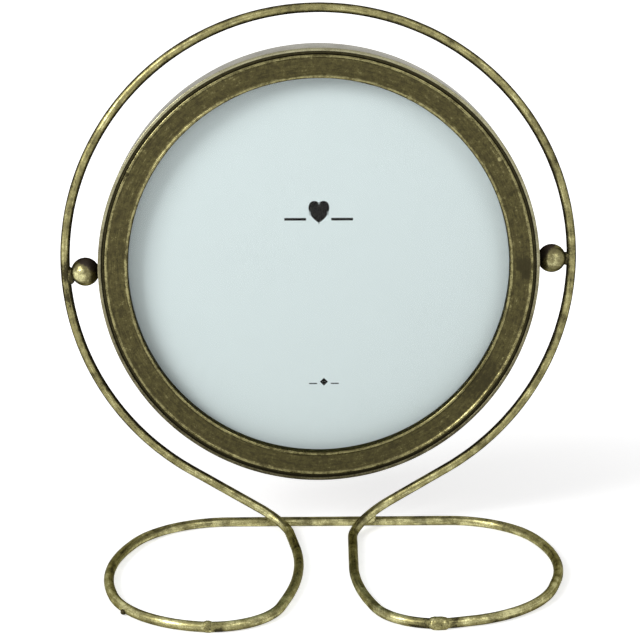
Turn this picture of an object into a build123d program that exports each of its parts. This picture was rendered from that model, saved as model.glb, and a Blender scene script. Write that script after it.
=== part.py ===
from build123d import *
import os
from math import acos, asin, cos, degrees, pi, radians, sin, tan

# A round photo frame. A shallow round case holds glass, picture and back board.
# It hangs between two balls in a hoop of round wire, and the hoop's two ends run
# down into legs and then into two flat loops, which a bar joins at the back.
# Sizes are in millimetres. X points right, Y to the back and Z up.
# The origin lies on the table, in the middle of the outline.

# Wire of the stand
wire_diameter = 3.3
leg_slope = 31.0
foot_out = 11.5

# Base loops: places are measured outwards from the hoop's middle and forwards from its plane
bar_behind_hoop = 1.2
left_foot_bend = 12.0
left_waist_out = 5.3
left_waist_forward = 48.2
left_front_out = 18.9
left_front_forward = 98.1
left_shoulder_out = 60.9
left_shoulder_forward = 87.6
left_side_out = 71.9
left_side_forward = 44.1
left_back_out = 54.4
right_foot_bend = 15.5
right_waist_out = 10.1
right_waist_forward = 61.3
right_front_out = 21.7
right_front_forward = 96.2
right_shoulder_out = 66.6
right_shoulder_forward = 84.8
right_side_out = 80.7
right_side_forward = 38.3
right_back_out = 65.3

# Share of a run that the arc at each of its ends takes up
loop_arc_share = 0.49

# Butt welds that close the wire at the front of each loop, as a share of the way
# from the top of the leg to the middle of the back bar
left_weld_share = 0.466
left_weld_length = 2.4
left_weld_diameter = 4.0
right_weld_share = 0.4315
right_weld_length = 6.0
right_weld_diameter = 4.8

# Bead of weld spatter that stayed under the left loop's front
spatter_share = 0.565
spatter_diameter = 2.0
spatter_below_level = 20.0

# Tack welds where the legs pass over the back bar. The two places come closest
# in the first share of a side's wire and in its last share.
tack_diameter = 2.9
leg_end_share = 0.25
bar_start_share = 0.9

# Balls and the welds that hold them to the hoop
ball_diameter = 9.6
ball_wire_gap = 0.2
ball_flat_depth = 0.5
ball_weld_diameter = 3.8
left_ball_weld_height = 6.4
left_ball_weld_drop = 1.2
right_ball_weld_height = 5.2
right_ball_weld_drop = 0.3

# Pivot, in the middle of the case: the right ball sits higher and the left one lower
pivot_below_hoop = 0.9
pivot_rise = 2.0
pivot_screw_diameter = 3.0
pivot_screw_grip = 5.0
pivot_head_diameter = 4.4
pivot_head_height = 1.7
pivot_slot_width = 0.8
pivot_slot_depth = 0.9
washer_diameter = 5.0
spacer_thickness = 0.4
friction_washer_thickness = 0.6
running_clearance = 0.05

# Case band, a ring of rolled sheet, as deep behind the pivot as in front of it
case_diameter = 147.2
band_thickness = 1.2
band_edge_radius = 0.4

# Front bezel, a pressed ring with a raised bead along both edges
groove_width = 0.8
groove_depth = 1.2
bezel_thickness = 1.0
bead_width = 1.4
bead_height = 0.4
lip_depth = 4.0
skirt_depth = 3.6
skirt_gusset = 1.0

# Seat ring, which centres glass and board and carries the turn buttons
pane_clearance = 0.6
seat_thickness = 0.8
flange_thickness = 0.7
flange_washer_gap = 0.3

# Glass, picture and back
pane_overlap = 2.2
glass_thickness = 2.0
picture_margin = 0.8
picture_thickness = 0.4
picture_gap = 0.1
filler_thickness = 1.5
board_thickness = 3.0

# Turn buttons and their rivets
button_count = 4
button_first_angle = 45.0
button_width = 4.2
button_reach = 9.6
button_thickness = 0.9
button_axial_play = 0.05
button_dimple_diameter = 2.2
button_dimple_height = 0.5
button_dimple_slope = 20.0
button_dimple_share = 0.72
button_wall_gap = 0.9
rivet_diameter = 2.0
rivet_head_diameter = 3.8
rivet_head_height = 0.8
rivet_tail_diameter = 3.2
rivet_tail_height = 0.5
rivet_tail_gap = 0.6

overrun = 5.0

wire_radius = wire_diameter / 2
case_radius = case_diameter / 2
band_inner_radius = case_radius - band_thickness
ball_radius = ball_diameter / 2

# Distances from the case's axis, from the band inwards. The rivets of the turn
# buttons stand between the band and the seat ring, which holds the pane.
bezel_radius = band_inner_radius - groove_width
button_radius = band_inner_radius - button_wall_gap - button_width / 2
seat_outer_radius = button_radius - rivet_tail_diameter / 2 - rivet_tail_gap
seat_radius = seat_outer_radius - seat_thickness
pane_radius = seat_radius - pane_clearance
opening_radius = pane_radius - pane_overlap

# Distances from the case's middle along the pivot axis, from the inside outwards.
# The band curves in towards the friction washer's rim.
band_seat = (band_inner_radius**2 - (washer_diameter / 2) ** 2) ** 0.5
friction_washer_start = band_seat - running_clearance - friction_washer_thickness
screw_head_start = friction_washer_start - pivot_head_height
spacer_start = case_radius + running_clearance
ball_flat_start = spacer_start + spacer_thickness
ball_middle = ball_flat_start + ball_radius - ball_flat_depth
screw_end = ball_flat_start + pivot_screw_grip
hoop_radius = ball_middle + ball_radius + ball_wire_gap + wire_radius

# Distances in front of the case's middle, from the board's back forwards
board_back = -(washer_diameter / 2 + flange_washer_gap + flange_thickness)
filler_back = board_back + board_thickness
picture_back = filler_back + filler_thickness
picture_front = picture_back + picture_thickness
glass_back = picture_front + picture_gap
lip_back = glass_back + glass_thickness
front = lip_back + lip_depth
case_depth = 2 * front

# Height of the hoop, from where its straight legs meet the table
leg_top_out = hoop_radius * sin(radians(leg_slope))
leg_top_height = wire_radius + (leg_top_out - foot_out) * tan(radians(leg_slope))
hoop_height = leg_top_height + hoop_radius * cos(radians(leg_slope))


# Stand: the path of the wire
left_outline = [
    (left_waist_out, left_waist_forward),
    (left_front_out, left_front_forward),
    (left_shoulder_out, left_shoulder_forward),
    (left_side_out, left_side_forward),
    (left_back_out, -bar_behind_hoop),
]
right_outline = [
    (right_waist_out, right_waist_forward),
    (right_front_out, right_front_forward),
    (right_shoulder_out, right_shoulder_forward),
    (right_side_out, right_side_forward),
    (right_back_out, -bar_behind_hoop),
]


def side_corners(side, outline):
    """Corners of the wire from the top of one leg round the loop to the middle of the bar."""
    corners = [Vector(side * leg_top_out, 0, leg_top_height), Vector(side * foot_out, 0, wire_radius)]
    corners += [Vector(side * out, -forward, wire_radius) for out, forward in outline]
    return corners + [Vector(0, bar_behind_hoop, wire_radius)]


def loop_bend(before, corner, after):
    """Radius of an arc that takes its share of the shorter of the two runs it joins."""
    back, ahead = before - corner, after - corner
    inner_angle = acos(back.normalized().dot(ahead.normalized()))
    return loop_arc_share * min(back.length, ahead.length) * tan(inner_angle / 2)


def side_path(side, outline, foot_bend):
    """Centreline of one half of the wire below the hoop, with the hoop's plane at zero."""
    corners = side_corners(side, outline)
    bends = [foot_bend]
    bends += [loop_bend(*corners[i - 1 : i + 2]) for i in range(2, len(corners) - 1)]
    with BuildLine() as path:
        FilletPolyline(*corners, radius=bends)
    return path.wires()[0]


left_path = side_path(-1, left_outline, left_foot_bend)
right_path = side_path(1, right_outline, right_foot_bend)

# The outline reaches from the left butt weld in front to the case's rear edge,
# and the hoop stands so far behind the origin that the origin is in its middle
loop_front = -min(path.bounding_box().min.Y for path in (left_path, right_path))
hoop_y = (loop_front + left_weld_diameter / 2 - front) / 2
left_path = left_path.moved(Location((0, hoop_y, 0)))
right_path = right_path.moved(Location((0, hoop_y, 0)))


def weld_ends(path, share, length):
    """Places along a path where the wire stops on either side of a butt weld."""
    half = length / path.length / 2
    return share - half, share + half


def section_on(path):
    """Plane of the wire's round section at the start of a path."""
    return Plane(origin=path @ 0, z_dir=path % 0)


left_weld_start, left_weld_end = weld_ends(left_path, left_weld_share, left_weld_length)
right_weld_start, right_weld_end = weld_ends(right_path, right_weld_share, right_weld_length)


# Hoop, legs and the front inner halves of the loops, bent from one wire
with BuildLine() as hoop_line:
    add(left_path.trim(0, left_weld_start))
    ThreePointArc(
        (-leg_top_out, hoop_y, leg_top_height),
        (0, hoop_y, hoop_height + hoop_radius),
        (leg_top_out, hoop_y, leg_top_height),
    )
    add(right_path.trim(0, right_weld_start))
hoop_path = hoop_line.wires()[0]

with BuildPart() as hoop_wire:
    with BuildSketch(section_on(hoop_path)):
        Circle(wire_radius)
    sweep(path=hoop_path)


# Outer halves of the loops and the back bar, bent from a second wire
with BuildLine() as base_line:
    add(left_path.trim(left_weld_end, 1))
    add(right_path.trim(right_weld_end, 1))
base_path = base_line.wires()[0]

spatter_point = left_path @ spatter_share
spatter_run = left_path % spatter_share
spatter_out = spatter_run.cross(Vector(0, 0, 1))
spatter_side = 1 if spatter_out.Y < 0 else -1
spatter_reach = wire_radius * cos(radians(spatter_below_level))
spatter_drop = wire_radius * sin(radians(spatter_below_level))

with BuildPart() as base_wire:
    with BuildSketch(section_on(base_path)):
        Circle(wire_radius)
    sweep(path=base_path)
    with Locations(spatter_point + spatter_out * spatter_side * spatter_reach - Vector(0, 0, spatter_drop)):
        Sphere(spatter_diameter / 2)


def butt_weld(path, start, end, diameter):
    """A barrel of weld metal between two wire ends, filed flat on the table side."""
    gap = path.trim(start, end)
    with BuildPart() as weld:
        for share, width in ((0, wire_diameter), (0.5, diameter), (1, wire_diameter)):
            with BuildSketch(Plane(origin=gap @ share, x_dir=(0, 0, 1), z_dir=gap % share)):
                Circle(width / 2)
        sweep(path=gap, multisection=True)
        split(bisect_by=Plane.XY, keep=Keep.TOP)
    return weld


butt_weld_left = butt_weld(left_path, left_weld_start, left_weld_end, left_weld_diameter)
butt_weld_right = butt_weld(right_path, right_weld_start, right_weld_end, right_weld_diameter)


# Tack welds between the legs and the bar, where the two wires come closest
def tack_weld(path):
    """A plug of weld in the gap between the leg and the bar that it passes over."""
    leg = path.trim(0, leg_end_share)
    bar = path.trim(bar_start_share, 1)
    distance, on_leg, on_bar = leg.distance_to_with_closest_points(bar)
    with BuildPart() as weld:
        with BuildSketch(Plane(origin=on_bar, x_dir=(1, 0, 0), z_dir=on_leg - on_bar)):
            Circle(tack_diameter / 2)
        extrude(amount=distance)
        add(hoop_wire.part, mode=Mode.SUBTRACT)
        add(base_wire.part, mode=Mode.SUBTRACT)
    return weld


tack_weld_left = tack_weld(left_path)
tack_weld_right = tack_weld(right_path)


# Pivot axis through both balls and the middle of the case
pivot_slant = degrees(asin(pivot_rise / ball_middle))
case_middle = Vector(0, hoop_y, hoop_height - pivot_below_hoop)


def pivot_plane(side, distance):
    """Plane across the pivot axis, facing outwards, at a distance from the case's middle."""
    outwards = Vector(side, 0, 0).rotate(Axis.Y, -pivot_slant)
    return Plane(origin=case_middle + outwards * distance, x_dir=(0, 1, 0), z_dir=outwards)


def ball(side):
    """A turned ball with a flat on the case's side and a blind hole for the pivot screw."""
    flat = pivot_plane(side, ball_flat_start)
    with BuildPart() as knob:
        with BuildSketch(Plane(origin=flat.origin, x_dir=flat.z_dir, z_dir=flat.x_dir)):
            with Locations((ball_radius - ball_flat_depth, 0)):
                Circle(ball_radius)
            Rectangle(overrun, ball_diameter, align=(Align.MAX, Align.CENTER), mode=Mode.SUBTRACT)
            Rectangle(2 * ball_diameter, ball_diameter, align=(Align.CENTER, Align.MAX), mode=Mode.SUBTRACT)
            Rectangle(
                pivot_screw_grip, pivot_screw_diameter / 2, align=(Align.MIN, Align.MIN), mode=Mode.SUBTRACT
            )
        revolve(axis=Axis(flat.origin, flat.z_dir))
    return knob


def ball_weld(side, knob, height, drop):
    """A bead of weld between a ball and the hoop, a little below the ball's middle."""
    weld_out = ball_middle + ball_radius + ball_wire_gap / 2
    place = pivot_plane(side, weld_out).origin - Vector(0, 0, drop)
    with BuildPart() as weld:
        with BuildSketch(Plane(origin=place, x_dir=(1, 0, 0), z_dir=(0, -1, 0))):
            Ellipse(ball_weld_diameter / 2, height / 2)
            Rectangle(ball_weld_diameter, height, align=(Align.MAX, Align.CENTER), mode=Mode.SUBTRACT)
        revolve(axis=Axis(place, (0, 0, 1)))
        add(knob.part, mode=Mode.SUBTRACT)
        add(hoop_wire.part, mode=Mode.SUBTRACT)
    return weld


def pivot_screw(side):
    """A slotted screw that runs through the band from inside and holds in the ball."""
    with BuildPart() as screw:
        with BuildSketch(pivot_plane(side, screw_head_start)):
            Circle(pivot_head_diameter / 2)
        extrude(amount=pivot_head_height)
        with BuildSketch(pivot_plane(side, screw_head_start)):
            Rectangle(pivot_slot_width, pivot_head_diameter + overrun)
        extrude(amount=pivot_slot_depth, mode=Mode.SUBTRACT)
        with BuildSketch(pivot_plane(side, friction_washer_start)):
            Circle(pivot_screw_diameter / 2)
        extrude(amount=screw_end - friction_washer_start)
    return screw


def washer(side, start, thickness):
    """A flat ring round the pivot screw."""
    with BuildPart() as ring:
        with BuildSketch(pivot_plane(side, start)):
            Circle(washer_diameter / 2)
            Circle(pivot_screw_diameter / 2, mode=Mode.SUBTRACT)
        extrude(amount=thickness)
    return ring


ball_left, ball_right = ball(-1), ball(1)
ball_weld_left = ball_weld(-1, ball_left, left_ball_weld_height, left_ball_weld_drop)
ball_weld_right = ball_weld(1, ball_right, right_ball_weld_height, right_ball_weld_drop)
pivot_screw_left, pivot_screw_right = pivot_screw(-1), pivot_screw(1)
spacer_washer_left = washer(-1, spacer_start, spacer_thickness)
spacer_washer_right = washer(1, spacer_start, spacer_thickness)
friction_washer_left = washer(-1, friction_washer_start, friction_washer_thickness)
friction_washer_right = washer(1, friction_washer_start, friction_washer_thickness)


# Case: every ring is a section turned round the case's axis, which runs front to back.
# In a section X is the distance from the axis and Y the distance in front of the middle.
section = Plane(origin=case_middle, x_dir=(1, 0, 0), z_dir=(0, 0, -1))
case_axis = Axis(case_middle, (0, 1, 0))


def case_plane(forward):
    """Plane across the case's axis that faces backwards, a distance in front of the middle."""
    return Plane(origin=case_middle - Vector(0, forward, 0), x_dir=(-1, 0, 0), z_dir=(0, 1, 0))


# Case band with a bearing hole for each pivot screw
with BuildPart() as case_band:
    with BuildSketch(section):
        with Locations((case_radius, 0)):
            Rectangle(band_thickness, case_depth, align=(Align.MAX, Align.CENTER))
    revolve(axis=case_axis)
    fillet(case_band.edges().filter_by(GeomType.CIRCLE).group_by(Edge.length)[-1], band_edge_radius)
    for side in (-1, 1):
        with BuildSketch(pivot_plane(side, band_inner_radius - overrun)):
            Circle(pivot_screw_diameter / 2 + running_clearance)
        extrude(amount=band_thickness + 2 * overrun, mode=Mode.SUBTRACT)


# Front bezel
face = front - bead_height
groove_floor = front - groove_depth
skirt_back = front - skirt_depth
bezel_back = face - bezel_thickness
skirt_inner_radius = bezel_radius - bezel_thickness
bead_slope = 0.35 * bead_width

with BuildPart() as front_bezel:
    with BuildSketch(section) as bezel_section:
        with BuildLine():
            Polyline(
                (opening_radius, lip_back),
                (opening_radius, front),
                (opening_radius + bead_width - bead_slope, front),
                (opening_radius + bead_width, face),
                (bezel_radius - bead_width, face),
                (bezel_radius - bead_width + bead_slope, front),
                (bezel_radius, front),
                (bezel_radius, groove_floor),
                (band_inner_radius, groove_floor),
                (band_inner_radius, skirt_back),
                (skirt_inner_radius, skirt_back),
                (skirt_inner_radius, bezel_back - skirt_gusset),
                (skirt_inner_radius - skirt_gusset, bezel_back),
                (opening_radius + bezel_thickness, bezel_back),
                (opening_radius + bezel_thickness, lip_back),
                close=True,
            )
        make_face()
        bead_corners = bezel_section.vertices().group_by(Axis.Y)[-1].sort_by(Axis.X)
        fillet([bead_corners[0], bead_corners[-1]], 0.45 * bead_width)
        fillet(bead_corners[1:-1], 0.35 * bead_width)
    revolve(axis=case_axis)


# Seat ring with a flange at the back that carries the rivets
with BuildPart() as seat_ring:
    with BuildSketch(section):
        with Locations((seat_radius, bezel_back)):
            Rectangle(seat_thickness, bezel_back - board_back, align=(Align.MIN, Align.MAX))
        with Locations((seat_radius, board_back)):
            Rectangle(band_inner_radius - seat_radius, flange_thickness, align=(Align.MIN, Align.MIN))
    revolve(axis=case_axis)
    with BuildSketch(case_plane(board_back)):
        with PolarLocations(button_radius, button_count, start_angle=button_first_angle):
            Circle(rivet_diameter / 2)
    extrude(amount=-flange_thickness, mode=Mode.SUBTRACT)


def disc(radius, back, thickness):
    """A flat disc in the case, given the place of its back face."""
    with BuildPart() as sheet:
        with BuildSketch(case_plane(back)):
            Circle(radius)
        extrude(amount=-thickness)
    return sheet


glass_pane = disc(pane_radius, glass_back, glass_thickness)
photo_card = disc(pane_radius - picture_margin, picture_back, picture_thickness)
filler_sheet = disc(pane_radius, filler_back, filler_thickness)
backing_board = disc(pane_radius, board_back, board_thickness)


# Turn buttons, closed over the board's edge, and the rivets that they turn on
button_front = board_back - button_axial_play
button_back = button_front - button_thickness
head_front = button_back - button_axial_play
flange_front = board_back + flange_thickness


def turn_button(angle):
    """A rounded plate from its rivet in towards the middle, with a pressed dimple at the tip."""
    spot = PolarLocations(button_radius, 1, start_angle=angle)
    tip = PolarLocations(button_radius - button_reach * button_dimple_share, 1, start_angle=angle)
    with BuildPart() as button:
        with BuildSketch(case_plane(button_front)):
            with spot:
                SlotCenterPoint((-(button_reach - button_width / 2) / 2, 0), (0, 0), button_width)
        extrude(amount=button_thickness)
        with BuildSketch(case_plane(button_back)):
            with tip:
                Circle(button_dimple_diameter / 2)
        extrude(amount=button_dimple_height, taper=button_dimple_slope)
        with BuildSketch(case_plane(button_back)):
            with spot:
                Circle(rivet_diameter / 2 + running_clearance)
        extrude(amount=-button_thickness, mode=Mode.SUBTRACT)
    return button


button_angles = [button_first_angle + i * 360 / button_count for i in range(button_count)]
turn_buttons = [turn_button(angle) for angle in button_angles]

with BuildPart() as button_rivets:
    for start, diameter, height in (
        (flange_front + rivet_tail_height, rivet_tail_diameter, rivet_tail_height),
        (flange_front, rivet_diameter, flange_front - head_front),
        (head_front, rivet_head_diameter, rivet_head_height),
    ):
        with BuildSketch(case_plane(start)):
            with PolarLocations(button_radius, button_count, start_angle=button_first_angle):
                Circle(diameter / 2)
        extrude(amount=height)


nodes = {
    "hoop_wire": hoop_wire,
    "base_wire": base_wire,
    "butt_weld_left": butt_weld_left,
    "butt_weld_right": butt_weld_right,
    "tack_weld_left": tack_weld_left,
    "tack_weld_right": tack_weld_right,
    "ball_left": ball_left,
    "ball_right": ball_right,
    "ball_weld_left": ball_weld_left,
    "ball_weld_right": ball_weld_right,
    "pivot_screw_left": pivot_screw_left,
    "pivot_screw_right": pivot_screw_right,
    "spacer_washer_left": spacer_washer_left,
    "spacer_washer_right": spacer_washer_right,
    "friction_washer_left": friction_washer_left,
    "friction_washer_right": friction_washer_right,
    "case_band": case_band,
    "front_bezel": front_bezel,
    "seat_ring": seat_ring,
    "glass_pane": glass_pane,
    "photo_card": photo_card,
    "filler_sheet": filler_sheet,
    "backing_board": backing_board,
    "button_rivets": button_rivets,
}
for number, button in enumerate(turn_buttons, start=1):
    nodes[f"turn_button_{number}"] = button

os.makedirs("parts", exist_ok=True)
for name, piece in nodes.items():
    piece.part.label = name
    export_step(piece.part, f"parts/{name}.step")

print("hoop wire volume", round(hoop_wire.part.volume, 1))
print("section times length", round(pi * wire_radius**2 * hoop_path.length, 1))
print("hoop radius", round(hoop_radius, 3), "height", round(hoop_height, 3), "plane", round(hoop_y, 3))
print("opening", round(2 * opening_radius, 1), "pane", round(2 * pane_radius, 1))
print("case depth", round(case_depth, 1), "bezel width", round(bezel_radius - opening_radius, 1))
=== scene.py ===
import math

import bmesh
import bpy
from bpy.props import FloatProperty, FloatVectorProperty, IntProperty, PointerProperty
from mathutils import Euler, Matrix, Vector, noise


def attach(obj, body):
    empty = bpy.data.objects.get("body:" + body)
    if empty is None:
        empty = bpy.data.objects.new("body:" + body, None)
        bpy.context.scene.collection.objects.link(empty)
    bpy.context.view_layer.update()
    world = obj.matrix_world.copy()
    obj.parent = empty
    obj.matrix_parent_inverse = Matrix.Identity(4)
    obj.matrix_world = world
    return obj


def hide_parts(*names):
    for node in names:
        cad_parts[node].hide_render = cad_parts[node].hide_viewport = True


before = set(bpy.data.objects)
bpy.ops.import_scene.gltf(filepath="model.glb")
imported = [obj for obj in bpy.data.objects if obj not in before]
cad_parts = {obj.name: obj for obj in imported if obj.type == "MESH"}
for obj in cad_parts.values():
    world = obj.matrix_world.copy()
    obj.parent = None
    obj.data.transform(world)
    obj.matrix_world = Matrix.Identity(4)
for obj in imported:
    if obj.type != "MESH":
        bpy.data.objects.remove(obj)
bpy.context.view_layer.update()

bl_info = {
    "name": "Round Photo Frame",
    "version": (1, 0, 0),
    "blender": (4, 5, 0),
    "location": "3D View > Sidebar > Photo Frame",
    "description": "Dresses the solids of a round wire photo frame in aged brass",
    "category": "Add Mesh",
}

# The solids' own sizes, in metres. X points right, Y to the back and Z up.
MM = 0.001
HOOP_RADIUS = 85.0 * MM
HOOP_MIDDLE = Vector((0, 44.051, 93.904)) * MM
CASE_MIDDLE = Vector((0, 44.051, 93.004)) * MM
LEG_SLOPE = math.radians(31.0)
FOOT_OUT = 11.5 * MM
BAR_BEHIND_HOOP = 1.2 * MM
LOOP_ARC_SHARE = 0.49

# Corners of each base loop: outwards from the middle and forwards from the hoop's plane
LOOP_CORNERS = {
    -1: ((5.3, 48.2), (18.9, 98.1), (60.9, 87.6), (71.9, 44.1), (54.4, -1.2)),
    1: ((10.1, 61.3), (21.7, 96.2), (66.6, 84.8), (80.7, 38.3), (65.3, -1.2)),
}
FOOT_BEND = {-1: 12.0 * MM, 1: 15.5 * MM}

SIDES = {-1: "left", 1: "right"}

# Butt welds at the front of the loops: share of the way round, length and diameter
WELD_SHARE = {-1: 0.466, 1: 0.4315}
WELD_LENGTH = {-1: 2.4 * MM, 1: 6.0 * MM}
WELD_DIAMETER = {-1: 4.0 * MM, 1: 4.8 * MM}
WELD_LAP = 0.7 * MM
WELD_TAPER = 0.8 * MM
SPATTER_SHARE = 0.565
SPATTER_RADIUS = 1.0 * MM
SPATTER_BELOW_LEVEL = math.radians(20.0)

# Tack welds between the legs and the back bar: middle and half sizes
TACK_WELDS = {
    "tack_weld_left": (Vector((-15.9, 43.9, 3.2)) * MM, Vector((2.4, 2.2, 2.4)) * MM),
    "tack_weld_right": (Vector((17.8, 43.7, 3.6)) * MM, Vector((2.4, 2.3, 2.8)) * MM),
}

# Balls on the slanted pivot
PIVOT_SLANT = math.asin(2.0 / 78.35)
BALL_OUT = 78.35 * MM
BALL_RADIUS = 4.8 * MM
BALL_FLAT_DEPTH = 0.5 * MM
BALL_WIRE_GAP = 0.2 * MM
BALL_HOLE_RADIUS = 1.5 * MM
BALL_HOLE_DEPTH = 5.0 * MM
BALL_WELD_HEIGHT = {-1: 6.4 * MM, 1: 5.2 * MM}
BALL_WELD_DROP = {-1: 1.2 * MM, 1: 0.3 * MM}
BALL_WELD_WIDTH = 3.8 * MM

# Case, measured from its middle
CASE_RADIUS = 73.6 * MM
CASE_HALF_DEPTH = 7.5 * MM
BAND_THICKNESS = 1.2 * MM
OPENING_RADIUS = 63.6 * MM
BEZEL_RADIUS = 71.6 * MM
BEZEL_THICKNESS = 1.0 * MM
BEAD_WIDTH = 1.4 * MM
BEAD_HEIGHT = 0.4 * MM
GROOVE_DEPTH = 1.2 * MM
LIP_DEPTH = 4.0 * MM
SKIRT_DEPTH = 3.6 * MM
BOARD_BACK = 3.5 * MM

# Turn buttons and rivets, measured from the board's back
BUTTON_RING_RADIUS = 69.4 * MM
BUTTON_FIRST_ANGLE = math.radians(45.0)
BUTTON_COUNT = 4
FLANGE_THICKNESS = 0.7 * MM
AXIAL_PLAY = 0.05 * MM

# Materials
BRASS_BUMP = 0.03 * MM
GLASS_IOR = 1.15
STAIN = (60, 55, 37)

# How far the bezel's flange reaches into the band, so that no light shows between them
PRESS_FIT = 0.12 * MM

# Stage, in metres
FLOOR_HALF = 3.0
KEY_PLACE = (-0.85, -0.62, 0.66)
KEY_SIZE = 0.55
FILL_PLACE = (0.68, -0.85, 0.8)
FILL_SIZE = 0.6
CAMERA_PLACE = Vector((-13.8, -632.749, 240.8)) * MM
CAMERA_AIM = Vector((0.4, 44.051, 73.9)) * MM
CAMERA_LENS = 115.97
CAMERA_SENSOR = 36.0

ZERO = (0.0, 0.0, 0.0)

# Turns a shape made round +Z so that its axis runs to the back
TO_BACK = Euler((math.radians(90.0), 0, math.radians(180.0)))


def paint(red, green, blue):
    """A colour as seen on a screen, from 0 to 255, as the linear value that nodes take."""
    shares = [value / 255 for value in (red, green, blue)]
    return tuple(
        share / 12.92 if share <= 0.04045 else ((share + 0.055) / 1.055) ** 2.4 for share in shares
    )


# Sizes and colours that a user would change
def length_value(name, description, default):
    """A length that a user can change."""
    return FloatProperty(name=name, description=description, default=default, unit="LENGTH")


def count_value(name, description, default, least):
    """A number of faces that a user can change."""
    return IntProperty(name=name, description=description, default=default, min=least)


def level_value(name, description, default):
    """A strength that a user can change."""
    return FloatProperty(name=name, description=description, default=default)


def colour_value(name, description, *tone):
    """A colour that a user can change, given as seen on a screen."""
    return FloatVectorProperty(
        name=name, description=description, subtype="COLOR", default=paint(*tone)
    )


class WireSettings(bpy.types.PropertyGroup):
    """The bent wire of the stand"""

    diameter: length_value("Wire Diameter", "Thickness of the round wire", 3.3 * MM)
    step: length_value("Step", "Length of one ring of faces along the wire", 0.9 * MM)
    sides: count_value("Sides", "Faces around the wire", 28, 8)
    hammer_depth: length_value("Hammer Depth", "How deep the marks of bending go", 0.09 * MM)


class CaseSettings(bpy.types.PropertyGroup):
    """The rings of the case and the turned balls"""

    segments: count_value("Segments", "Faces around each ring of the case", 480, 64)
    ball_segments: count_value("Ball Segments", "Faces around each ball", 72, 24)
    dent_depth: length_value("Dent Depth", "How deep the sheet's small dents go", 0.07 * MM)


class FinishSettings(bpy.types.PropertyGroup):
    """Colours of the brass, the picture and the back"""

    # The bright tone also makes the painted highlights on the balls. The dark tone also makes the
    # painted shade on the hoop's sides and in the bezel's groove.
    brass_bright: colour_value("Rubbed Brass And Highlights", "Where handling has polished it", 214, 209, 156)
    brass_mid: colour_value("Aged Brass", "The wire's ordinary tone", 134, 128, 86)
    brass_dark: colour_value("Patina And Shade", "Dark patina in recesses and patches", 58, 54, 36)
    bezel_mid: colour_value("Bezel Brass", "The darker tone of the pressed ring", 77, 72, 45)
    card: colour_value("Card", "Ground of the printed card", 218, 229, 230)
    ink: colour_value("Ink", "Print on the card", 10, 8, 6)
    board: colour_value("Board", "Hardboard of the back", 104, 74, 48)


class StudioSettings(bpy.types.PropertyGroup):
    """Lamps, floor and surroundings"""

    key_power: level_value("Key Power", "Strength of the large lamp at the left", 10.2)
    fill_power: level_value("Fill Power", "Strength of the soft lamp in front", 2.6)
    room_level: level_value("Room Level", "Light that the pale room gives off", 0.3)
    floor: colour_value("Floor", "Colour of the pale floor", 238, 238, 238)


# Node helpers
def feed(tree, node, inputs):
    """Gives a node's inputs their values or links."""
    for key, value in inputs.items():
        if isinstance(value, bpy.types.NodeSocket):
            tree.links.new(value, node.inputs[key])
        else:
            node.inputs[key].default_value = value


def add_node(tree, kind, inputs=None, **settings):
    """A node with its settings, and with a value or a link for each input that is named."""
    node = tree.nodes.new(kind)
    node.location = (180 * len(tree.nodes), 0)
    for name, value in settings.items():
        setattr(node, name, value)
    feed(tree, node, inputs or {})
    return node


def maths(tree, operation, *values, kind="ShaderNodeMath"):
    """The result of a Math or Vector Math node on the values."""
    node = add_node(tree, kind, dict(enumerate(values)), operation=operation)
    return node.outputs["Value" if operation in ("DOT_PRODUCT", "LENGTH") else 0]


def vector_maths(tree, operation, *values):
    """The result of a Vector Math node on the values."""
    return maths(tree, operation, *values, kind="ShaderNodeVectorMath")


def plus(tree, first, second):
    """The sum of two values."""
    return maths(tree, "ADD", first, second)


def minus(tree, first, second):
    """The difference of two values."""
    return maths(tree, "SUBTRACT", first, second)


def times(tree, first, second):
    """The product of two values."""
    return maths(tree, "MULTIPLY", first, second)


def joined(tree, x=0.0, y=0.0, z=0.0):
    """A vector from its three parts."""
    return add_node(tree, "ShaderNodeCombineXYZ", {"X": x, "Y": y, "Z": z}).outputs[0]


def parts_of(tree, vector):
    """The X, Y and Z of a vector."""
    return add_node(tree, "ShaderNodeSeparateXYZ", {"Vector": vector}).outputs


def on_circle(tree, angle, radius):
    """The X and Y of a point on a circle."""
    across = times(tree, maths(tree, "COSINE", angle), radius)
    return across, times(tree, maths(tree, "SINE", angle), radius)


def step_between(tree, value, low, high):
    """A smooth step of a value, from 0 at low to 1 at high."""
    node = add_node(
        tree,
        "ShaderNodeMapRange",
        {"Value": value, "From Min": low, "From Max": high},
        interpolation_type="SMOOTHSTEP",
    )
    return node.outputs["Result"]


def noise_of(tree, vector, scale, detail=3.0, rough=0.55):
    """Noise from about 0 to 1 at a number of lumps per unit of the vector."""
    inputs = {"Vector": vector, "Scale": scale, "Detail": detail, "Roughness": rough}
    return add_node(tree, "ShaderNodeTexNoise", inputs).outputs[0]


def mixed(tree, factor, first, second):
    """Two colours mixed by a factor."""
    inputs = {0: factor, 6: first, 7: second}
    return add_node(tree, "ShaderNodeMix", inputs, data_type="RGBA").outputs[2]


FLOAT = "NodeSocketFloat"
VECTOR = "NodeSocketVector"
COLOUR = "NodeSocketColor"
GEOMETRY = "NodeSocketGeometry"
MATERIAL = "NodeSocketMaterial"
SOCKET_OF = {float: FLOAT, int: "NodeSocketInt", tuple: VECTOR}


def new_group(kind, name, inputs, outputs):
    """A node group and its two end nodes. Each input has a default value or only a socket type."""
    group = bpy.data.node_groups.new(name, kind)
    for label, value in inputs.items():
        bare = isinstance(value, str)
        socket = value if bare else SOCKET_OF[type(value)]
        item = group.interface.new_socket(label, in_out="INPUT", socket_type=socket)
        if not bare:
            item.default_value = value
    for label, socket in outputs.items():
        group.interface.new_socket(label, in_out="OUTPUT", socket_type=socket)
    start = group.nodes.new("NodeGroupInput")
    end = group.nodes.new("NodeGroupOutput")
    return group, start.outputs, end.inputs


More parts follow.
